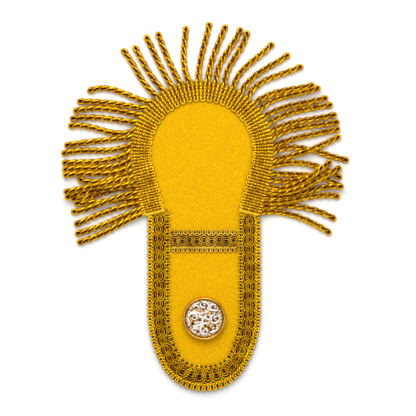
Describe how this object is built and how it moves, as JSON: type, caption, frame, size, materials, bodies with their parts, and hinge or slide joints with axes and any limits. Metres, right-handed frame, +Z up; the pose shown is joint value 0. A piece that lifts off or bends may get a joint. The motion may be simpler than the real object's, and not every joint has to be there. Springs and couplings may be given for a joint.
{
  "type": "epaulette",
  "caption": "Keyhole-shaped felt shoulder board edged with gimp braid, with a twisted cord fringe round its round head and a pierced metal button on its strap.",
  "frame": {"origin": "on the felt's flat underside, on the strap's centre line, where the neck meets the head", "axes": "+Z up out of the trimmed face, +Y towards the fringed head, -Y towards the arched tail, +X to the right as seen from above"},
  "size_m": [0.1536, 0.1976, 0.0091],
  "materials": {
    "felt": "wool felt, golden yellow",
    "bullion": "twisted cord of gold metal thread",
    "gimp": "gimp braid of gold metal thread",
    "gilt": "polished gilt brass",
    "silvered": "silvered brass with gilt ground"
  },
  "bodies": {
    "root": {"felt_body": "felt", "fringe": "bullion", "edge_braid": "gimp", "cross_braid": "gimp", "button_case": "gilt", "button_filigree": "silvered", "button_post": "gilt"}
  },
  "joints": []
}
